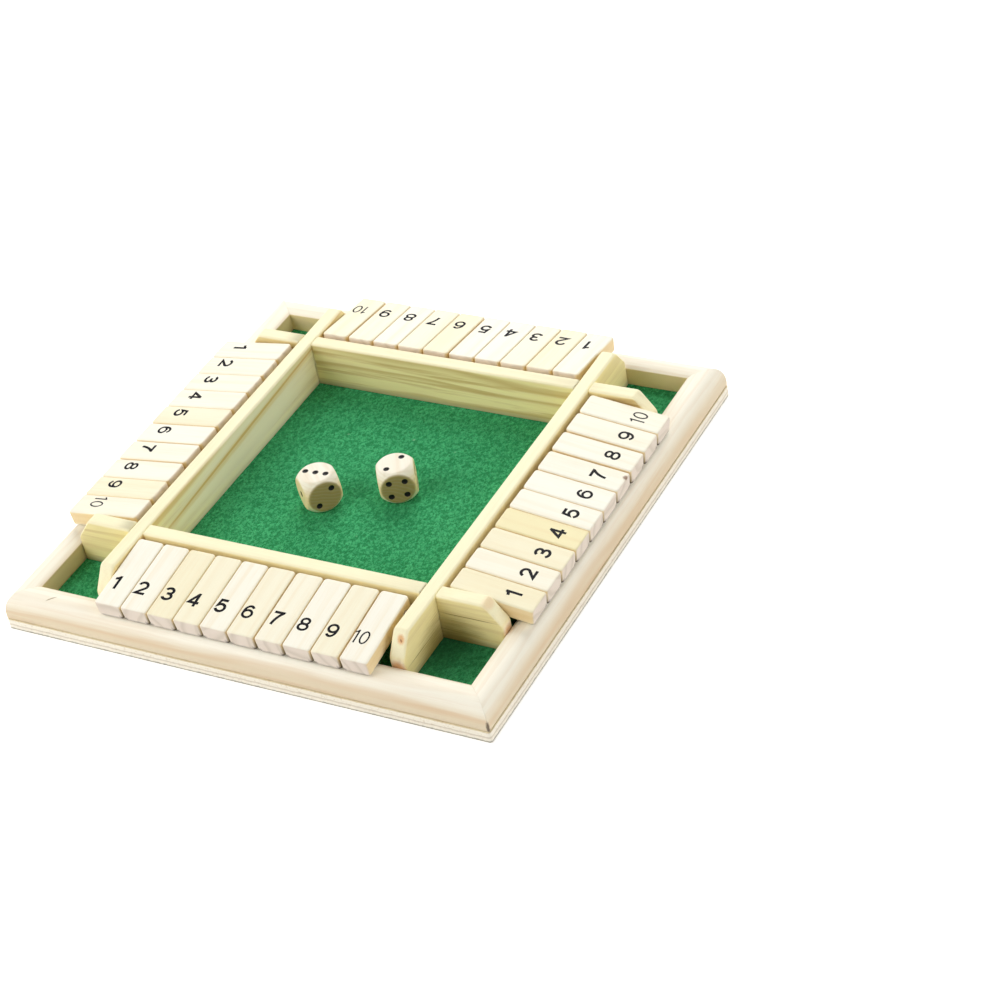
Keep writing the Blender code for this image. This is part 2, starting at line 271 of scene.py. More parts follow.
def dress(tree, shader, colour, strength, depth, height):
    """Give a shader its colour, and a bump of a strength and a depth in metres that follows a height."""
    tree.links.new(colour.outputs[2], shader.inputs["Base Color"])
    bump = node(tree, "Bump", {"Strength": strength, "Distance": depth, "Height": height})
    tree.links.new(bump.outputs[0], shader.inputs["Normal"])


def planed_pine(name, pale, warm, late, side, end, ring_width, stripes, streaks, marks=()):
    """Pine or beech, planed and sanded: growth rings round a pith, fibres along the trunk, and a soft satin.

    Each piece carries its own place in the trunk as the attribute log, in millimetres with Y along the grain.
    The rings, ring_width apart, show as faint stripes on the faces and as grey arcs on the sawn ends. The
    upright sides are painted deeper in colour and more streaked than the tops, as shade. The attribute foot
    holds how much a divider is painted darker towards the felt, and a second attribute how much a flap's
    outer end is painted darker where it rests on the frame: both are painted shade. A mark is a knot, a line,
    a stain
    or a patch of painted shade or light: its middle, its turn in degrees about X, Y or Z, its reach along
    them, and its colour.
    """
    finish, tree, shader = finish_of(name, Specular_IOR_Level=0.35)
    log = node(tree, "Attribute", attribute_name="log").outputs["Vector"]
    tone, sawn, flank, figure, foot, nook_shade = (
        node(tree, "Attribute", attribute_name=kind).outputs["Fac"]
        for kind in ("tone", "sawn", "flank", "figure", "foot", "nook_shade"))

    # Rings: distance from the pith, bent by a slow noise so that no line is ruled
    slow = node(tree, "VectorMath", {0: log, 1: (0.06, 0.007, 0.06)}, operation="MULTIPLY")
    slow = node(tree, "TexNoise", {"Vector": slow, "Scale": 1.0, "Detail": 2.0}).outputs["Color"]
    slow = node(tree, "VectorMath", {0: slow, 1: (0.5, 0.5, 0.5)}, operation="SUBTRACT")
    flat = node(tree, "VectorMath", {0: log, 1: (1.0, 0.0, 1.0)}, operation="MULTIPLY")
    bent = node(tree, "VectorMath", {0: slow, 1: (9.0, 0.0, 9.0), 2: flat}, operation="MULTIPLY_ADD")
    radius = node(tree, "VectorMath", {0: bent}, operation="LENGTH")
    year = node(tree, "Math", {0: radius, 1: ring_width}, operation="DIVIDE")
    year = node(tree, "Math", {0: year}, operation="FRACT")
    rings = node(tree, "ValToRGB", {"Fac": year},
                 stops=[(0.0, 0.15), (0.30, 0.0), (0.55, 0.15), (0.82, 1.0), (0.92, 0.8), (1.0, 0.15)])

    # Fibres: noise drawn out along the grain, 3 mm wide for streaks and 0.3 mm for the sanded surface
    coarse = node(tree, "VectorMath", {0: log, 1: (0.36, 0.012, 0.36)}, operation="MULTIPLY")
    coarse = node(tree, "TexNoise", {"Vector": coarse, "Scale": 1.0, "Detail": 4.0, "Roughness": 0.6})
    fine = node(tree, "VectorMath", {0: log, 1: (3.2, 0.10, 3.2)}, operation="MULTIPLY")
    fine = node(tree, "TexNoise", {"Vector": fine, "Scale": 1.0, "Detail": 3.0, "Roughness": 0.65})
    streak = node(tree, "MapRange", {0: coarse, 1: 0.50, 2: 0.66})
    fibre = node(tree, "MapRange", {0: fine, 1: 0.50, 2: 0.75})

    # Shares: stripes everywhere, streaks stronger on the sides, arcs on the ends
    more = node(tree, "Math", {0: flank, 1: streaks, 2: stripes}, operation="MULTIPLY_ADD")
    more = node(tree, "Math", {0: more, 1: figure}, operation="MULTIPLY")
    stripe = node(tree, "Math", {0: rings, 1: more}, operation="MULTIPLY")
    streaked = node(tree, "Math", {0: streak, 1: more}, operation="MULTIPLY")
    fibred = node(tree, "Math", {0: fibre, 1: 0.12}, operation="MULTIPLY")
    arcs = node(tree, "MapRange", {0: rings, 1: 0.0, 2: 1.0, 3: 0.0, 4: 0.32})
    arcs = node(tree, "Math", {0: arcs, 1: sawn}, operation="MULTIPLY")
    upright = node(tree, "Math", {0: flank, 1: 0.9}, operation="MULTIPLY")
    # The side colour on upright faces, the foot band and the nook are painted shade, not the wood's own
    # colour
    layers = [(tone, warm), (upright, side), (stripe, late), (streaked, late), (fibred, late),
              (sawn, end), (arcs, "b0a28c"), (foot, "8c7a40"), (nook_shade, "20140a")]
    colour = laid_over(tree, linear(pale), layers)
    for middle, turned, reach, code in marks:
        place = node(tree, "TexCoord").outputs["Object"]
        apart = node(tree, "VectorMath", {0: place, 1: [-part * MM for part in middle]})
        turned_back = [-math.radians(part) for part in turned]
        apart = node(tree, "VectorRotate", {"Vector": apart, "Rotation": turned_back},
                     rotation_type="EULER_XYZ")
        per_reach = [1 / (part * MM) for part in reach]
        apart = node(tree, "VectorMath", {0: apart, 1: per_reach}, operation="MULTIPLY")
        apart = node(tree, "VectorMath", {0: apart}, operation="LENGTH")
        ragged = node(tree, "Math", {0: fine, 1: 0.8, 2: apart}, operation="MULTIPLY_ADD")
        share = node(tree, "MapRange", {0: ragged, 1: 0.9, 2: 1.5, 3: 0.85, 4: 0.0})
        colour = laid_over(tree, colour, [(share, code)])

    relief = node(tree, "Math", {0: rings, 1: 0.4}, operation="MULTIPLY")
    relief = node(tree, "Math", {0: fine, 1: 0.7, 2: relief}, operation="MULTIPLY_ADD")
    dress(tree, shader, colour, 0.35, 0.00012, relief)
    satin = node(tree, "MapRange", {0: fine, 1: 0.3, 2: 0.7, 3: 0.44, 4: 0.60})
    dull = node(tree, "Math", {0: sawn, 1: 0.15, 2: satin}, operation="MULTIPLY_ADD")
    tree.links.new(dull.outputs[0], shader.inputs["Roughness"])
    return finish


def three_ply():
    """Poplar plywood, rotary cut and sawn: a wide faint figure on its faces, and edges torn by the saw.

    An edge shows two pale plies with a thin brown one between them, half way up, and is painted grey along
    its foot, as the shade where it meets the table.
    The pores are about 1 mm apart, and the tears 4 mm. The tears raise each level by about 0.6 mm.
    """
    finish, tree, shader = finish_of("poplar_plywood_sawn", Roughness=0.65, Specular_IOR_Level=0.3)
    place = node(tree, "TexCoord").outputs["Object"]
    drawn = node(tree, "VectorMath", {0: place, 1: (14.0, 60.0, 60.0)}, operation="MULTIPLY")
    wave = node(tree, "TexNoise", {"Vector": drawn, "Scale": 1.0, "Detail": 4.0, "Distortion": 0.8})
    figure = node(tree, "Math", {0: wave, 1: 9.0}, operation="MULTIPLY")
    figure = node(tree, "Math", {0: figure}, operation="FRACT")
    bands = node(tree, "ValToRGB", {"Fac": figure}, stops=[(0.0, 0.0), (0.8, 0.6), (1.0, 0.0)])
    pores = node(tree, "TexNoise", {"Vector": place, "Scale": 900.0, "Detail": 2.0})
    torn = node(tree, "TexNoise", {"Vector": place, "Scale": 260.0, "Detail": 4.0, "Roughness": 0.7})
    level = node(tree, "SeparateXYZ", {0: place}).outputs["Z"]
    level = node(tree, "Math", {0: torn, 1: 0.0012, 2: level}, operation="MULTIPLY_ADD")
    upright = node(tree, "Attribute", attribute_name="flank").outputs["Fac"]
    near = node(tree, "Math", {0: level, 1: 0.0031}, operation="SUBTRACT")
    near = node(tree, "Math", {0: near}, operation="ABSOLUTE")
    core = node(tree, "MapRange", {0: near, 1: 0.0001, 2: 0.0006, 3: 0.34, 4: 0.0})
    core = node(tree, "Math", {0: core, 1: upright}, operation="MULTIPLY")
    # Painted shade: a grey band along the edge's foot where it meets the table, made ragged by the tears
    contact_shade = node(tree, "MapRange", {0: level, 1: 0.0011, 2: 0.0017, 3: 0.80, 4: 0.0})
    contact_shade = node(tree, "Math", {0: contact_shade, 1: upright}, operation="MULTIPLY")
    specks = node(tree, "MapRange", {0: pores, 1: 0.56, 2: 0.72, 3: 0.0, 4: 0.30})
    layers = [(bands, "dcc9a2"), (upright, "fdf5e4"), (specks, "c8ae84"), (core, "9c8058"), (contact_shade, "76766a")]
    dress(tree, shader, laid_over(tree, linear("eadcba"), layers), 0.4, 0.0002, torn)
    return finish


def green_felt():
    """Pressed felt, short tangled fibres: mottled green, no gloss, with a faint pale bloom at low angles.

    The mottle is 1.3 mm wide and the tufts 0.6 mm, coarser than real fibres so that they show.
    The felt in the front right pocket is painted darker, as shade, most of all in its inner corner.
    """
    finish, tree, shader = finish_of(
        "green_felt_pressed", Roughness=0.95, Specular_IOR_Level=0.15, Sheen_Weight=0.15, Sheen_Roughness=0.5,
        Sheen_Tint=linear("9fd8b0"))
    place = node(tree, "TexCoord").outputs["Object"]
    combed = node(tree, "VectorMath", {0: place, 1: (1.0, 0.68, 1.0)}, operation="MULTIPLY")
    mottle = node(tree, "TexNoise", {"Vector": combed, "Scale": 760.0, "Detail": 4.0, "Roughness": 0.8})
    tufts = node(tree, "TexNoise", {"Vector": combed, "Scale": 1700.0, "Detail": 3.0, "Roughness": 0.7,
                                    "Distortion": 1.0})
    lint = node(tree, "TexVoronoi", {"Vector": place, "Scale": 60.0}, feature="F1").outputs["Distance"]
    pale = node(tree, "MapRange", {0: mottle, 1: 0.44, 2: 0.56})
    dark = node(tree, "MapRange", {0: tufts, 1: 0.46, 2: 0.64, 3: 0.0, 4: 0.85})
    speck = node(tree, "MapRange", {0: lint, 1: 0.02, 2: 0.05, 3: 0.45, 4: 0.0})
    # Painted shade: the felt darker in the front right pocket, most of all near its inner corner
    apart = node(tree, "VectorMath", {0: place, 1: [-part * MM for part in POCKET_SHADE_CORNER]}, operation="ADD")
    apart = node(tree, "VectorMath", {0: apart}, operation="LENGTH")
    pocket_shade = node(tree, "MapRange", {0: apart, 1: 0.008, 2: 0.036, 3: 0.75, 4: 0.0})
    axes = node(tree, "SeparateXYZ", {0: place})
    forward = node(tree, "Math", {0: axes.outputs["Y"], 1: -1.0}, operation="MULTIPLY")
    beyond = node(tree, "Math", {0: axes.outputs["X"], 1: forward}, operation="MINIMUM")
    pocket = node(tree, "MapRange", {0: beyond, 1: 0.066, 2: 0.069})
    pocket_shade = node(tree, "Math", {0: pocket_shade, 1: pocket}, operation="MULTIPLY")
    layers = [(pale, "4cbd7c"), (dark, "136a3a"), (speck, "9fd0ae"), (pocket_shade, "0b4a28")]
    height = node(tree, "Math", {0: tufts, 1: 0.6, 2: mottle}, operation="MULTIPLY_ADD")
    dress(tree, shader, laid_over(tree, linear("218c53"), layers), 0.8, 0.0006, height)
    return finish


def drawn_steel():
    """Mild steel wire, drawn: bright grey, dulled by handling in spots of 1 to 2 mm."""
    finish, tree, shader = finish_of("mild_steel_drawn", Metallic=1.0)
    place = node(tree, "TexCoord").outputs["Object"]
    dull = node(tree, "TexNoise", {"Vector": place, "Scale": 700.0, "Detail": 3.0})
    worn = node(tree, "MapRange", {0: dull, 1: 0.35, 2: 0.70})
    dress(tree, shader, laid_over(tree, linear("cfcdca"), [(worn, "a9a6a2")]), 0.15, 0.00005, dull)
    satin = node(tree, "MapRange", {0: dull, 1: 0.3, 2: 0.7, 3: 0.28, 4: 0.45})
    tree.links.new(satin.outputs[0], shader.inputs["Roughness"])
    return finish


def printed_ink():
    """Black ink pressed on pine: nearly black, matt, thinned where fibres 0.7 mm wide didn't take it."""
    finish, tree, shader = finish_of("black_ink_pad_printed", Roughness=0.6, Specular_IOR_Level=0.1)
    place = node(tree, "TexCoord").outputs["Object"]
    thin = node(tree, "TexNoise", {"Vector": place, "Scale": 1500.0, "Detail": 2.0})
    bare = node(tree, "MapRange", {0: thin, 1: 0.50, 2: 0.80, 3: 0.0, 4: 0.4})
    dress(tree, shader, laid_over(tree, linear("0c0b10"), [(bare, "2c2a2e")]), 0.2, 0.00003, thin)
    return finish


def tumbled_beech(name):
    """Beech, turned and tumbled smooth, with short dark flecks, and pips drilled and painted black.

    The attribute pip holds each point's distance from the nearest pip's middle, in millimetres.
    """
    # The end colour is the end grain, deepened to an olive that is partly painted shade; the side colour is
    # painted shade
    finish = planed_pine(name, "fbf7ea", "f6ead0", "dcc39a", "f2d8a0", "9c8a58", 1.6, 0.20, 0.20)
    tree = finish.node_tree
    shader = next(item for item in tree.nodes if item.type == "BSDF_PRINCIPLED")
    wood = shader.inputs["Base Color"].links[0].from_node
    pip = node(tree, "Attribute", attribute_name="pip").outputs["Fac"]
    painted = node(tree, "MapRange", {0: pip, 1: PIP_RADIUS - PAINT_EDGE, 2: PIP_RADIUS + PAINT_EDGE,
                                      3: 1.0, 4: 0.0})
    tree.links.new(laid_over(tree, wood, [(painted, "0c0b0b")]).outputs[2], shader.inputs["Base Color"])
    shader.inputs["Specular IOR Level"].default_value = 0.2
    return finish


def white_table():
    """A matt white table top, which stays white to the eye except where the game shades it.

    Away from the game, where the lamps reach it less, its own glow rises to the room's white.
    """
    finish, tree, shader = finish_of("white_laminate_matt", Roughness=0.9, Specular_IOR_Level=0.0)
    place = node(tree, "TexCoord").outputs["Object"]
    grain = node(tree, "TexNoise", {"Vector": place, "Scale": 40.0, "Detail": 2.0})
    colour = laid_over(tree, linear("f4f4f2"), [(grain, "f7f7f6")])
    tree.links.new(colour.outputs[2], shader.inputs["Base Color"])
    apart = node(tree, "VectorMath", {0: place}, operation="LENGTH")
    level = node(tree, "MapRange", {0: apart, 1: TABLE_GLOW_START, 2: TABLE_GLOW_END, 3: TABLE_GLOW, 4: 1.0})
    glow = node(tree, "Math", {0: seen_share(tree), 1: level}, operation="MULTIPLY")
    glow = node(tree, "Emission", {"Color": (1.0, 1.0, 1.0, 1.0), "Strength": glow})
    both = node(tree, "AddShader", {0: shader, 1: glow})
    output = next(item for item in tree.nodes if item.type == "OUTPUT_MATERIAL")
    tree.links.new(both.outputs[0], output.inputs["Surface"])
    return finish


def seen_share(tree):
    """1 for what is seen directly, in a reflection or through glass, and 0 for light that falls on things."""
    rays = node(tree, "LightPath")
    mirrored = node(tree, "Math", {0: rays.outputs["Is Glossy Ray"], 1: rays.outputs["Is Transmission Ray"]},
                    operation="MAXIMUM")
    return node(tree, "Math", {0: rays.outputs["Is Camera Ray"], 1: mirrored}, operation="MAXIMUM")


def ring_faces(stations, ring):
    """Quads between each ring of points and the next, and one many-sided face over each end."""
    index = np.arange(stations * ring).reshape(stations, ring)
    here, there = index[:-1], index[1:]
    quads = np.stack([here, np.roll(here, -1, 1), np.roll(there, -1, 1), there], -1).reshape(-1, 4)
    return quads.tolist() + [index[0][::-1].tolist(), index[-1].tolist()]


def grid_faces(rows, columns):
    """Quads between neighbouring points of a flat grid."""
    index = np.arange(rows * columns).reshape(rows, columns)
    corners = [index[:-1, :-1], index[:-1, 1:], index[1:, 1:], index[1:, :-1]]
    return np.stack(corners, -1).reshape(-1, 4).tolist()


def mesh_of(name, points, faces):
    """A mesh from an array of points in millimetres, with doubles merged and its faces turned outwards."""
    mesh = bpy.data.meshes.new(name)
    mesh.from_pydata((np.asarray(points).reshape(-1, 3) * MM).tolist(), [], faces)
    shape = bmesh.new()
    shape.from_mesh(mesh)
    bmesh.ops.remove_doubles(shape, verts=shape.verts, dist=1e-7)
    bmesh.ops.recalc_face_normals(shape, faces=shape.faces)
    shape.to_mesh(mesh)
    shape.free()
    mesh.shade_smooth()
    return mesh


def evened(mesh, cutter=None):
    """The mesh after its bore is cut, with flat faces shaded flat beside their rounds."""
    mesh.set_sharp_from_angle(angle=math.radians(40))
    worked = bpy.data.objects.new(mesh.name, mesh)
    bpy.context.collection.objects.link(worked)
    if cutter is not None:
        cut = worked.modifiers.new("bore", "BOOLEAN")
        cut.operation, cut.solver, cut.object = "DIFFERENCE", "EXACT", cutter
    even = worked.modifiers.new("even shading", "WEIGHTED_NORMAL")
    even.keep_sharp = True
    bpy.context.view_layer.update()
    result = bpy.data.meshes.new_from_object(worked.evaluated_get(bpy.context.evaluated_depsgraph_get()))
    bpy.data.objects.remove(worked, do_unlink=True)
    return result


def points_of(mesh):
    """The mesh's points as an array, in millimetres."""
    flat = np.empty(len(mesh.vertices) * 3)
    mesh.vertices.foreach_get("co", flat)
    return flat.reshape(-1, 3) / MM


def give(mesh, name, values):
    """Store one number or one vector for each point under a name."""
    values = np.asarray(values, float)
    kind = "FLOAT_VECTOR" if values.ndim == 2 else "FLOAT"
    layer = mesh.attributes.new(name, kind, "POINT")
    layer.data.foreach_set("vector" if values.ndim == 2 else "value", values.ravel())


def put_in_log(mesh, grain_axis, tone, pith=(30.0, 70.0), end_depth=0.35, turn=None, figure=1.0):
    """Give a piece its place in the trunk: its points turned so that Y follows the grain, and off the pith.

    sawn is 1 on the ends that the saw cut across the grain and falls to 0 within end_depth of them. flank is
    1 on upright faces, and figure says how strong the piece's stripes and streaks are.
    """
    points = points_of(mesh)
    order = [(grain_axis + 2) % 3, grain_axis, (grain_axis + 1) % 3]
    across, along, through = points[:, order[0]], points[:, order[1]], points[:, order[2]]
    angle = CHANCE.uniform(0, 2 * math.pi) if turn is None else turn
    away, around = CHANCE.uniform(*pith), CHANCE.uniform(0, 2 * math.pi)
    log = np.stack([
        across * math.cos(angle) + through * math.sin(angle) + away * math.cos(around),
        along + CHANCE.uniform(0, 4000),
        through * math.cos(angle) - across * math.sin(angle) + away * math.sin(around)], 1)
    depth = np.minimum(along - along.min(), along.max() - along)
    normals = np.empty(len(points) * 3)
    mesh.vertex_normals.foreach_get("vector", normals)
    give(mesh, "flank", np.clip((0.6 - np.abs(normals.reshape(-1, 3)[:, 2])) / 0.45, 0, 1))
    give(mesh, "figure", np.full(len(points), figure))
    give(mesh, "log", log)
    give(mesh, "tone", np.full(len(points), tone))
    give(mesh, "sawn", np.clip(1 - depth / end_depth, 0, 1))


def side_turn(side):
    """The turn that brings the front side's pieces to another side."""
    return Matrix.Rotation(SIDES.index(side) * math.pi / 2, 4, "Z")


def piece(name, mesh, finish, body, replaced=()):
    """A finished piece: its mesh at its place, its material, its body and the nodes that it stands for."""
    mesh.materials.clear()
    mesh.materials.append(finish)
    made = bpy.data.objects.new(name, mesh)
    bpy.context.collection.objects.link(made)
    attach(made, body)
    if replaced:
        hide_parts(*replaced)


def bend_points(centre, radii, start, end, steps):
    """Points along an ellipse's arc: the centre plus each radius times the angle's cosine or sine.

    The angle runs from start to end in equal steps, in degrees.
    """
    angles = np.radians(np.linspace(start, end, steps + 1))
    return np.stack([centre[0] + radii[0] * np.cos(angles), centre[1] + radii[1] * np.sin(angles)], 1)


def base_mesh():
    """A square with round corners in plan, drawn in at each rim by a quarter circle.

    Each ring is the plan's outline moved in a little, from under the lower rim to over the upper one.
    """
    steps = 8
    turns = [bend_points((0, 0), (1, 1), 90 * quarter, 90 * quarter + 90, steps) for quarter in range(4)]
    around = np.concatenate(turns)
    corners = np.array([(1, 1), (-1, 1), (-1, -1), (1, -1)])
    corner = np.repeat(corners, steps + 1, 0) * (BASE_HALF - BASE_CORNER_ROUND)
    rim = (BASE_RIM_ROUND, BASE_RIM_ROUND)
    lower = bend_points(rim, rim, 270, 180, 4)
    upper = bend_points((BASE_RIM_ROUND, BASE_TOP - BASE_RIM_ROUND), rim, 180, 90, 4)
    rings = []
    for inset, level in np.concatenate([lower, upper]):
        plan = corner + around * (BASE_CORNER_ROUND - inset)
        rings.append(np.column_stack([plan, np.full(len(plan), level)]))
    return evened(mesh_of("base", np.array(rings), ring_faces(len(rings), len(around))))


def rail_section():
    """The rail's section as distance out from the inner wall, and level.

    The crown is an ellipse's arc that the inner wall cuts off at an edge, the shoulder a quarter of a squared
    ellipse, and the side falls upright to a small round at its foot.
    """
    foot = RAIL_BOTTOM + RAIL_SIDE_HEIGHT
    edge = math.degrees(math.acos(-RAIL_CREST_INSET / CROWN_REACH))
    crest = (RAIL_CREST_INSET, RAIL_TOP - RAIL_CROWN_RISE)
    crown = bend_points(crest, (CROWN_REACH, RAIL_CROWN_RISE), edge, 90, 14)
    angles = np.radians(np.linspace(0, 90, 33))[1:]
    shoulder = np.stack([
        RAIL_CREST_INSET + (RAIL_WIDTH - RAIL_CREST_INSET) * np.sin(angles) ** (2 / SHOULDER_SQUARENESS),
        foot + (RAIL_TOP - foot) * np.maximum(np.cos(angles), 0) ** (2 / SHOULDER_SQUARENESS)], 1)
    heel = (RAIL_WIDTH - RAIL_FOOT_ROUND, RAIL_BOTTOM + RAIL_FOOT_ROUND)
    toe = bend_points(heel, (RAIL_FOOT_ROUND, RAIL_FOOT_ROUND), 0, -90, 4)
    return np.concatenate([crown, shoulder, toe, [(0, RAIL_BOTTOM)]])


def rail_mesh():
    """The section carried along X, each end cut at 45 degrees: a point's X is its own distance out."""
    section = rail_section()
    out = OPENING_HALF + section[:, 0]
    stations = np.linspace(-1, 1, 9)[:, None]
    same = 0 * stations
    points = np.stack([stations * (out - MITRE_SETBACK), same - out, same + section[:, 1]], -1)
    return evened(mesh_of("frame_rail", points, ring_faces(len(stations), len(section))))


def divider_section(low, top, ease, inset):
    """The strip's section at one place: a rectangle with round upper corners, drawn in all round by an inset.

    Two more points on its walls bound the band at its foot that is painted darker towards the felt, as shade.
    """
    half = DIVIDER_THICKNESS / 2 - inset
    round_off = min(ease, half)
    right = bend_points((half - round_off, top - round_off), (round_off, round_off), 0, 90, 6)
    left = bend_points((round_off - half, top - round_off), (round_off, round_off), 90, 180, 6)
    foot = [(-half, low + FOOT_SHADE_HEIGHT), (-half, low + inset), (half, low + inset), (half, low + FOOT_SHADE_HEIGHT)]
    return np.concatenate([foot, right, left])


def divider_mesh(upper):
    """The section carried along X while its top follows the sloped ends and the notches where strips cross.

    The slope starts and the end stops in small rounds, worked out as how far each station is past them.
    A notch has two stations at each of its walls, a hair apart.
    """
    end = OPENING_HALF - SEAT_GAP
    slope_start = end - DIVIDER_SLOPE_RUN
    notch = (FIELD_HALF - SEAT_GAP, FIELD_HALF + DIVIDER_THICKNESS + SEAT_GAP)
    half = [*DIVIDER_MIDDLE_STATIONS, notch[0] - NOTCH_WALL, notch[0], notch[1], notch[1] + NOTCH_WALL,
            DIVIDER_OUTER_STATION]
    half += list(slope_start + np.linspace(-DIVIDER_BEND_HALF, DIVIDER_BEND_HALF, 7))
    half += list(np.linspace(slope_start + DIVIDER_SLOPE_INSETS[0], end - DIVIDER_SLOPE_INSETS[1], 4))
    half += list(end - DIVIDER_END_ROUND * (1 - np.sin(np.radians(np.linspace(15, 90, 6)))))
    rings = []
    for place in [-value for value in reversed(half[1:])] + half:
        reach = abs(place)
        past = reach - slope_start
        fall = max(past, 0.0)
        if abs(past) < DIVIDER_BEND_HALF:
            fall = (past + DIVIDER_BEND_HALF) ** 2 / (4 * DIVIDER_BEND_HALF)
        top = DIVIDER_TOP - fall * DIVIDER_SLOPE_DROP / DIVIDER_SLOPE_RUN
        inset = drawn_in(end - reach, DIVIDER_END_ROUND)
        low = DIVIDER_BOTTOM
        in_notch = notch[0] - NOTCH_WALL / 2 < reach < notch[1] + NOTCH_WALL / 2
        ease = DIVIDER_EASE
        if in_notch and upper:
            low = LAP_LEVEL + SEAT_GAP / 2
        elif in_notch:
            top, ease = LAP_LEVEL - SEAT_GAP / 2, NOTCH_EASE
        section = divider_section(low, top - inset, ease, min(inset, DIVIDER_MOST_INSET))
        rings.append(np.column_stack([np.full(len(section), place), section[:, 0], section[:, 1]]))
    points = np.array(rings)
    points[..., 1] -= FIELD_HALF + DIVIDER_THICKNESS / 2
    sockets = [round_bar(DIVIDER_THICKNESS, SOCKET_RADIUS, (way * ROD_PLACE, -FIELD_HALF, ROD_LEVEL), 1)
               for way in (-1, 1)]
    mesh = mesh_of("divider", points, ring_faces(len(points), points.shape[1]))
    for socket in sockets:
        mesh = evened(mesh, socket)
        bpy.data.objects.remove(socket, do_unlink=True)
    return mesh


def round_bar(length, radius, centre, axis):
    """A cutter: a round bar along an axis, through its centre."""
    angles = np.arange(BORE_SIDES) * 2 * math.pi / BORE_SIDES
    ends = []
    for way in (-0.5, 0.5):
        ring = np.zeros((BORE_SIDES, 3))
        ring[:, axis] = way * length
        ring[:, (axis + 1) % 3] = radius * np.cos(angles)
        ring[:, (axis + 2) % 3] = radius * np.sin(angles)
        ends.append(ring + np.array(centre))
    bar = bpy.data.objects.new("round_bar", mesh_of("round_bar", np.array(ends), ring_faces(2, BORE_SIDES)))
    bpy.context.collection.objects.link(bar)
    return bar


def flap_section(width, low, top, top_round, bottom_round):
    """The flap's section: a rectangle with its four corners rounded, as quarter circles.

    Two more points on its underside keep what is stored at a rim near that rim.
    """
    half = width / 2
    rim = half - bottom_round - UNDERSIDE_RIM
    corners = [
        bend_points((half - bottom_round, low + bottom_round), (bottom_round, bottom_round), -90, 0, 5),
        bend_points((half - top_round, top - top_round), (top_round, top_round), 0, 90, 5),
        bend_points((top_round - half, top - top_round), (top_round, top_round), 90, 180, 5),
        bend_points((bottom_round - half, low + bottom_round), (bottom_round, bottom_round), 180, 270, 5),
        [(-rim, low), (rim, low)]]
    return np.concatenate(corners)


def drawn_in(depth, radius):
    """How far a round edge draws a side in, at a depth from the end: the radius less the circle's height."""
    short = max(0.0, radius - depth)
    return radius - math.sqrt(max(0.0, radius ** 2 - short ** 2))


def flap_mesh():
    """The section carried along the flap, drawn in near each end by the round corners and the eased rim.

    Each end closes with a smaller ring in its own plane, so that what is stored at its rim stays near it.
    """
    inner_steps = FLAP_CORNER_ROUND * (1 - np.cos(np.radians(np.linspace(0, 90, 9))))
    outer_steps = FLAP_OUTER_ROUND * (1 - np.cos(np.radians(np.linspace(0, 90, 7))))
    along = np.concatenate([[0.0], inner_steps, FLAP_MIDDLE_STATIONS, [FLAP_LENGTH - NOOK_SHADE_DEPTH],
                            FLAP_LENGTH - outer_steps[::-1], [FLAP_LENGTH]])
    rings = []
    for step, place in enumerate(along):
        inner, outer = place, FLAP_LENGTH - place
        flat = FLAT_END_INSET if step in (0, len(along) - 1) else 0.0
        side = max(drawn_in(inner, FLAP_CORNER_ROUND), drawn_in(outer, FLAP_OUTER_ROUND))
        rim = max(drawn_in(inner, FLAP_END_ROUND), drawn_in(outer, FLAP_END_ROUND)) + flat
        width = FLAP_WIDTH - 2 * (side + flat)
        low, top = rim - FLAP_BORE_LIFT, FLAP_THICKNESS - FLAP_BORE_LIFT - rim
        section = flap_section(width, low, top, FLAP_TOP_ROUND, FLAP_BOTTOM_ROUND)
        behind = np.full(len(section), FLAP_BORE_INSET - place)
        rings.append(np.column_stack([section[:, 0], behind, section[:, 1]]))
    mesh = mesh_of("flap", np.array(rings), ring_faces(len(along), len(rings[0])))
    bore = round_bar(3 * FLAP_WIDTH, BORE_RADIUS, (0, 0, 0), 0)
    mesh = evened(mesh, bore)
    bpy.data.objects.remove(bore, do_unlink=True)
    return mesh


def rest_tilt():
    """The open flap's slope: the angle at which its underside meets the frame's crest."""
    across = OPENING_HALF + RAIL_CREST_INSET - ROD_PLACE
    down = ROD_LEVEL - RAIL_TOP
    return math.acos((FLAP_BORE_LIFT + SEAT_GAP) / math.hypot(across, down)) - math.atan2(across, down)


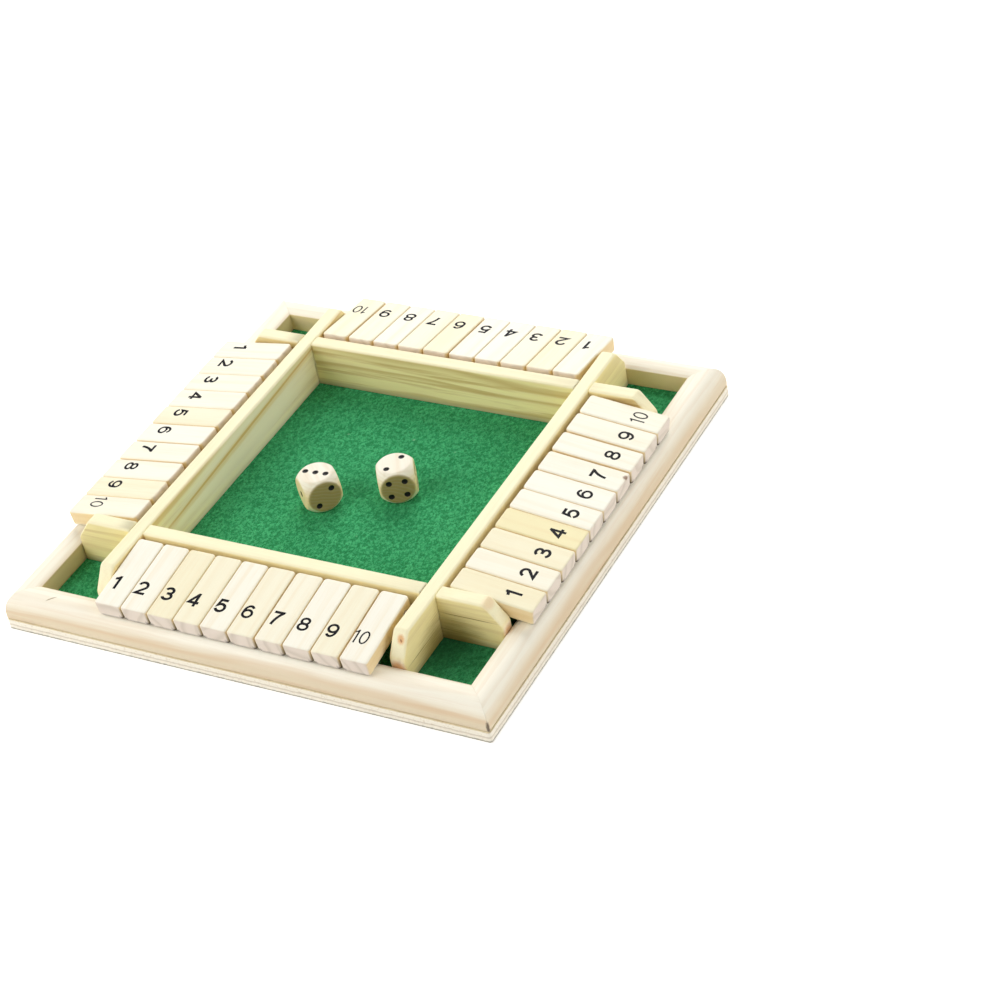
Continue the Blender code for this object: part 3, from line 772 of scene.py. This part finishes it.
def digit_strokes():
    """The numerals as pen paths about their middles, in millimetres: arcs of ellipses and straight runs.

    Each numeral is a list of paths, each an array of points and whether it closes on itself.
    """
    high = (DIGIT_HEIGHT - DIGIT_STROKE) / 2
    wide = 1.93
    full = DIGIT_HEIGHT / 2
    arc = bend_points

    def path(*parts):
        return np.concatenate([np.atleast_2d(np.array(part, float)) for part in parts])

    def eased(first, bend, last, steps=10):
        t = np.linspace(0, 1, steps + 1)[:, None]
        first, bend, last = (np.array(point, float) for point in (first, bend, last))
        return (1 - t) ** 2 * first + 2 * t * (1 - t) * bend + t ** 2 * last

    six = [
        (arc((0, -high + 1.78), (wide, 1.78), 0, 360, 40)[:-1], True),
        (path((-wide, -high + 1.78), arc((0.05, high - 2.75), (1.98, 2.75), 180, 42, 20)), False)]
    nine = [(-points, closed) for points, closed in six]
    ten_high = (TEN_HEIGHT - TEN_STROKE) / 2
    ten_full = TEN_HEIGHT / 2
    return {
        1: [(path((0.65, -full), (0.65, full)), False),
            (eased((0.62, high + 0.05), (-0.1, high - 0.9), (-1.35, high - 1.0)), False)],
        2: [(path(arc((0, high - 1.72), (wide - 0.05, 1.72), 170, -32, 22), (0.2, -high + 1.75),
                  (-wide + 0.1, -high), (wide + 0.52, -high)), False)],
        3: [(arc((-0.05, high - 1.36), (1.72, 1.36), 162, -90, 24), False),
            (path((-0.75, 0.12), arc((0, -high + 1.48), (wide, 1.48), 90, -162, 24)), False)],
        4: [(path((0.95, -full), (0.95, full)), False),
            (path((wide + 0.55, -high + 1.35), (-wide - 0.05, -high + 1.35), (0.85, high + 0.15)), False)],
        5: [(path((wide - 0.1, high), (-wide + 0.75, high), (-wide + 0.3, 0.05),
                  arc((-0.02, -high + 1.8), (wide, 1.8), 140, -160, 26)), False)],
        6: six,
        7: [(path((-wide - 0.1, high), (wide, high),
                  eased((wide - 0.05, high - 0.2), (-0.35, 0.4), (-0.75, -full))), False)],
        8: [(arc((0, high - 1.36), (1.66, 1.36), 0, 360, 36)[:-1], True),
            (arc((0, -high + 1.5), (wide + 0.02, 1.5), 0, 360, 40)[:-1], True)],
        9: nine,
        10: [(path((-2.0, -ten_full), (-2.0, ten_full)), False),
             (eased((-2.02, ten_high), (-2.45, ten_high - 0.75), (-3.35, ten_high - 0.85)), False),
             (arc((1.42, 0), (1.56, ten_high), 0, 360, 40)[:-1], True)],
    }


def ribbon(points, closed, stroke, low, high):
    """A flat pen stroke: each point moved half a stroke to both sides, across the bisector of its two runs.

    At a corner the move is lengthened by one over the cosine of half the turn, so the stroke keeps its width.
    """
    before = np.roll(points, 1, 0)
    after = np.roll(points, -1, 0)
    if not closed:
        before[0] = 2 * points[0] - points[1]
        after[-1] = 2 * points[-1] - points[-2]
    into = (points - before) / np.linalg.norm(points - before, axis=1)[:, None]
    away = (after - points) / np.linalg.norm(after - points, axis=1)[:, None]
    normal = np.stack([-(into + away)[:, 1], (into + away)[:, 0]], 1)
    normal /= np.linalg.norm(normal, axis=1)[:, None]
    cosine = np.abs(np.sum(normal * np.stack([-into[:, 1], into[:, 0]], 1), 1))
    shift = normal * (stroke / 2 / np.maximum(cosine, 0.4))[:, None]
    left, right = points + shift, points - shift
    levels = [(left, low), (left, high), (right, high), (right, low)]
    rings = np.stack([np.column_stack([edge, np.full(len(edge), level)]) for edge, level in levels], 1)
    if closed:
        rings = np.concatenate([rings, rings[:1]])
    faces = ring_faces(len(rings), 4)
    return rings.reshape(-1, 3), faces[:-2] if closed else faces


def digit_mesh(number, strokes):
    """All the strokes of one numeral, as thin ink on the flap's top."""
    stroke = {6: LOOPED_STROKE, 8: LOOPED_STROKE, 9: LOOPED_STROKE, 10: TEN_STROKE}.get(number, DIGIT_STROKE)
    top = FLAP_THICKNESS - FLAP_BORE_LIFT
    points, faces = [], []
    for level, (path, closed) in enumerate(strokes[number]):
        found, made = ribbon(path, closed, stroke, top - INK_SINK, top + INK_RISE + INK_OVERLAP_RISE * level)
        start = sum(len(part) for part in points)
        points.append(found)
        faces += [[start + corner for corner in face] for face in made]
    mesh = mesh_of(f"numeral_{number}", np.concatenate(points), faces)
    mesh.set_sharp_from_angle(angle=math.radians(30))
    return mesh


def pip_places(faces):
    """The middles of a die's pips: each face's normal, its two directions, and the pips' steps along them."""
    far = PIP_SPREAD
    patterns = {
        1: [(0, 0)],
        2: [(-far, -far), (far, far)],
        3: [(-far, far), (0, 0), (far, -far)],
        4: [(-far, -far), (-far, far), (far, -far), (far, far)],
        5: [(-far, -far), (-far, far), (0, 0), (far, -far), (far, far)],
        6: [(-far, -far), (0, -far), (far, -far), (-far, far), (0, far), (far, far)],
    }
    places = []
    for axis, way, count in faces:
        across, upward = [(1, 2), (0, 2), (0, 1)][axis]
        for a, b in patterns[count]:
            place = [0.0, 0.0, 0.0]
            place[axis], place[across], place[upward] = way * DIE_SIDE / 2, a, b
            places.append(place)
    return np.array(places)


def die_mesh(pips):
    """A cube and a ball in one: in each direction the surface lies at the nearer of the two, softly blended.

    The directions are a grid on each of the six faces, spaced by equal angles. A pip is a round dish, and its
    depth falls off with the square of the distance from its middle.
    """
    steps = DIE_GRID
    angles = np.tan(np.linspace(-math.pi / 4, math.pi / 4, steps))
    a, b = np.meshgrid(angles, angles, indexing="ij")
    half, ball = DIE_SIDE / 2, DIE_SIDE / 2 * DIE_BALL_SHARE
    points, faces = [], []
    for axis in range(3):
        for way in (-1, 1):
            grid = np.empty((steps, steps, 3))
            grid[..., axis], grid[..., (axis + 1) % 3], grid[..., (axis + 2) % 3] = way, a, b
            grid /= np.linalg.norm(grid, axis=-1)[..., None]
            to_cube = half / np.abs(grid).max(-1)
            nearer = np.exp(-DIE_BLEND * (to_cube - half)) + np.exp(-DIE_BLEND * (ball - half))
            reach = half - np.log(nearer) / DIE_BLEND
            start = len(points) * steps * steps
            points.append((grid * reach[..., None]).reshape(-1, 3))
            faces += [[start + corner for corner in face] for face in grid_faces(steps, steps)]
    points = np.concatenate(points)
    near = np.linalg.norm(points[:, None] - pips[None], axis=-1)
    closest, which = near.min(1), near.argmin(1)
    depth = PIP_DEPTH * np.clip(1 - (closest / PIP_RADIUS) ** 2, 0, 1)
    inward = -pips[which] * (np.abs(pips[which]) > DIE_SIDE / 2 - 0.01)
    points = points + inward / (DIE_SIDE / 2) * depth[:, None]
    return mesh_of("die", points, faces)


def smooth_noise(rows, columns, cell):
    """Random heights on a coarse lattice, read between its points by a straight blend both ways."""
    coarse = CHANCE.random((rows // cell + 2, columns // cell + 2))
    r, c = np.arange(rows) / cell, np.arange(columns) / cell
    r0, c0 = r.astype(int), c.astype(int)
    fr, fc = (r - r0)[:, None], (c - c0)[None, :]
    near = coarse[r0][:, c0] * (1 - fc) + coarse[r0][:, c0 + 1] * fc
    far = coarse[r0 + 1][:, c0] * (1 - fc) + coarse[r0 + 1][:, c0 + 1] * fc
    return near * (1 - fr) + far * fr


def felt_mesh():
    """The felt's top as a grid with a shallow uneven nap, closed by its sides and a flat underside."""
    steps = FELT_GRID
    half = OPENING_HALF - SEAT_GAP
    line = np.linspace(-half, half, steps)
    x, y = np.meshgrid(line, line, indexing="ij")
    nap = sum(height * smooth_noise(steps, steps, cell) for cell, height in NAP_HEIGHTS.items())
    top = np.stack([x, y, FELT_TOP + nap - NAP_SINK], -1)
    index = np.arange(steps * steps).reshape(steps, steps)
    rim = np.concatenate([index[0, :-1], index[:-1, -1], index[-1, :0:-1], index[:0:-1, 0]])
    under = top.reshape(-1, 3)[rim].copy()
    under[:, 2] = FELT_BOTTOM
    low = steps * steps + np.arange(len(rim))
    walls = np.stack([rim, np.roll(rim, -1), np.roll(low, -1), low], 1).tolist()
    faces = grid_faces(steps, steps) + walls + [low.tolist()]
    return mesh_of("felt", np.concatenate([top.reshape(-1, 3), under]), faces)


def steel_rod_mesh():
    """A round bar of many sides along X, with its ends eased by a small round."""
    turn = np.radians(np.linspace(0, 90, 4))
    places = np.concatenate([ROD_END_EASE * (1 - np.cos(turn)) - FIELD_HALF - ROD_END_DEPTH, [0.0]])
    radii = np.concatenate([ROD_RADIUS - ROD_END_EASE * (1 - np.sin(turn)), [ROD_RADIUS]])
    places = np.concatenate([places, -places[-2::-1]])
    radii = np.concatenate([radii, radii[-2::-1]])
    angles = np.arange(ROD_SIDES) * 2 * math.pi / ROD_SIDES
    points = np.stack([
        places[:, None] + 0 * angles, -ROD_PLACE + radii[:, None] * np.cos(angles),
        ROD_LEVEL + radii[:, None] * np.sin(angles)], -1)
    return evened(mesh_of("rod", points, ring_faces(len(places), ROD_SIDES)))


def build_tray():
    """Base, felt, frame, dividers and rods, all on the board."""
    base = base_mesh()
    put_in_log(base, 0, 0.0)
    piece("base_panel", base, three_ply(), "board", ["base_board"])
    piece("felt_nap", felt_mesh(), green_felt(), "board", ["felt_lining"])

    # Pine, planed: pale cream with faint pink and honey stripes
    frame_pine = planed_pine("pine_planed_frame", "fdf9ea", "f9eccf", "dfc098", "e4d2b2", "e8d4a4",
                             3.4, 0.18, 0.32, FRAME_MARKS)
    rail = rail_mesh()
    for side in SIDES:
        mesh = rail.copy()
        put_in_log(mesh, 0, 0.25, turn=0.4)
        sawn_inner_wall(mesh)
        mesh.transform(side_turn(side))
        piece("moulding_" + side, mesh, frame_pine, "board", ["frame_rail_" + side])

    # Pine, planed on edge: pale on top; its walls are painted golden with stronger brown streaks, as shade
    divider_pine = planed_pine("pine_planed_divider", "fcf6d2", "f6e8b4", "c09c58", "fcecac", "f6e8c8",
                               4.2, 0.08, 0.58, DIVIDER_MARKS_AND_PAINTED_SHADING)
    strips = {False: divider_mesh(False), True: divider_mesh(True)}
    for number, side in enumerate(SIDES):
        mesh = strips[number % 2 == 1].copy()
        put_in_log(mesh, 0, 0.25, turn=0.2, figure=(0.35, 0.35, 1.0, 0.6)[number])
        # Painted shade: the strip darker towards its foot, where it meets the felt
        give(mesh, "foot", 0.7 * np.clip(1.0 - (points_of(mesh)[:, 2] - DIVIDER_BOTTOM) / FOOT_SHADE_HEIGHT, 0, 1))
        mesh.transform(side_turn(side))
        piece("strip_" + side, mesh, divider_pine, "board", ["divider_" + side])

    steel = drawn_steel()
    rod = steel_rod_mesh()
    for side in SIDES:
        mesh = rod.copy()
        mesh.transform(side_turn(side))
        piece("pin_" + side, mesh, steel, "board", ["rod_" + side])


def sawn_inner_wall(mesh):
    """The frame's ends are hidden in the mitres, and what shows of the saw on it is its ripped inner wall."""
    out = -points_of(mesh)[:, 1] - OPENING_HALF
    mesh.attributes["sawn"].data.foreach_set("value", (out < 0.01).astype(float))


def paint_nook_shade(mesh, number):
    """Painted shade where a flap's outer end rests on the frame and meets its neighbours.

    A thin line follows the lower rim, fading with height. In the notch that two neighbours' rounded corners
    leave, the share falls off with the distance from the corner's edge. A side without a neighbour has none.
    """
    x, y, z = points_of(mesh).T
    lift = z + FLAP_BORE_LIFT
    edge = np.array([-FLAP_WIDTH / 2, FLAP_WIDTH / 2])
    open_sides = np.array([number > 1, number < 10], float)
    near = np.hypot(x[:, None] - edge, lift[:, None])
    notch = (np.clip((SHADE_CORNER_REACH - near) / SHADE_CORNER_FADE, 0, 1) * open_sides).max(1)
    line = np.clip((SHADE_RIM_REACH - lift) / SHADE_RIM_FADE, 0, 1)
    end = np.clip((FLAP_BORE_INSET - y - FLAP_LENGTH + NOOK_SHADE_DEPTH) / NOOK_SHADE_FADE, 0, 1)
    give(mesh, "nook_shade", np.maximum(SHADE_CORNER_SHARE * notch, SHADE_RIM_SHARE * line) * end)


def build_flaps():
    """Forty flaps with their numbers, each on its own body, sloping down from its rod to the frame."""
    flap_pine = planed_pine("pine_sanded_flap", "fbf8ec", "f1e5b0", "e6c98e", "efd6a4", "e8dacb",
                            6.5, 0.12, 0.25, FLAP_MARKS)
    ink = printed_ink()
    shape = flap_mesh()
    strokes = digit_strokes()
    numerals = {number: digit_mesh(number, strokes) for number in range(1, 11)}
    hinges = {joint["child"]: joint for joint in frame["joints"]}
    lean = Matrix.Rotation(rest_tilt(), 4, "X")
    for side in SIDES:
        for number in range(1, 11):
            body = f"flap_{side}_{number:02d}"
            place = Matrix.Translation(Vector(hinges[body]["pos_m"])) @ side_turn(side) @ lean
            mesh = shape.copy()
            put_in_log(mesh, 1, FLAP_TONES[side][number - 1], pith=(14.0, 60.0))
            paint_nook_shade(mesh, number)
            mesh.transform(place)
            piece(f"leaf_{side}_{number:02d}", mesh, flap_pine, body, [body])
            mark = numerals[number].copy()
            mark.transform(Matrix.Translation((DIGIT_SHIFT[side] * MM, -DIGIT_REACH[side] * MM, 0)))
            mark.transform(place)
            piece(f"numeral_{side}_{number:02d}", mark, ink, body)


def build_dice():
    """Two dice, each turned its own way on the felt."""
    faces = {
        "die_a": [(2, 1, 3), (1, -1, 2), (0, 1, 6), (0, -1, 1), (1, 1, 5), (2, -1, 4)],
        "die_b": [(2, 1, 2), (1, -1, 4), (0, 1, 6), (0, -1, 1), (1, 1, 3), (2, -1, 5)],
    }
    for name, shown in faces.items():
        low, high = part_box(name)
        pips = pip_places(shown)
        mesh = die_mesh(pips)
        points = points_of(mesh)
        give(mesh, "pip", np.linalg.norm(points[:, None] - pips[None], axis=-1).min(1))
        put_in_log(mesh, 1, 0.4, pith=(40.0, 70.0), end_depth=0.6)
        turn = Matrix.Rotation(math.radians(DIE_TURNS[name]), 4, "Z")
        mesh.transform(Matrix.Translation((low + high) / 2) @ turn)
        piece("dice_" + name[-1], mesh, tumbled_beech("beech_tumbled_" + name), name, [name])


def set_camera():
    """A long lens at the front right corner, looking down 37 degrees and rolled clockwise."""
    data = bpy.data.cameras.new("camera")
    data.sensor_width = 36.0
    data.lens = CAMERA_LENS
    data.clip_start, data.clip_end = 0.05, 20.0
    camera = bpy.data.objects.new("camera", data)
    camera.location = CAMERA_PLACE
    look = (CAMERA_AIM - CAMERA_PLACE).to_track_quat("-Z", "Y")
    camera.rotation_mode = "QUATERNION"
    camera.rotation_quaternion = look @ Matrix.Rotation(CAMERA_ROLL, 3, "Z").to_quaternion()
    bpy.context.collection.objects.link(camera)
    bpy.context.scene.camera = camera


def set_stage():
    """A wide white table, soft lamps behind, at the front left and at the right, and an even pale room."""
    mesh = bpy.data.meshes.new("table_top")
    angles = np.arange(TABLE_SIDES) * 2 * math.pi / TABLE_SIDES
    x, y = TABLE_RADIUS * np.cos(angles), TABLE_RADIUS * np.sin(angles)
    ring = np.stack([x, y, 0 * angles - TABLE_DROP], 1)
    mesh.from_pydata(ring.tolist(), [], [list(range(TABLE_SIDES))])
    table = bpy.data.objects.new("table_top", mesh)
    mesh.materials.append(white_table())
    bpy.context.collection.objects.link(table)

    for name, (size, power, place) in LAMPS.items():
        lamp = bpy.data.lights.new(name, "AREA")
        lamp.shape, lamp.size, lamp.energy = "SQUARE", size, power
        box = bpy.data.objects.new(name, lamp)
        box.location = place
        box.visible_camera = False
        box.rotation_mode = "QUATERNION"
        box.rotation_quaternion = (-Vector(place)).to_track_quat("-Z", "Y")
        bpy.context.collection.objects.link(box)

    world = bpy.data.worlds.new("pale_room")
    world.use_nodes = True
    tree = world.node_tree
    tree.nodes.clear()
    strength = node(tree, "MapRange", {0: seen_share(tree), 1: 0.0, 2: 1.0, 3: ROOM_LEVEL, 4: 1.0})
    room = node(tree, "Background", {"Color": (1.0, 1.0, 1.0, 1.0), "Strength": strength})
    node(tree, "OutputWorld", {"Surface": room})
    bpy.context.scene.world = world
    bpy.context.scene.view_settings.view_transform = "Standard"


build_tray()
build_flaps()
build_dice()
set_camera()
set_stage()
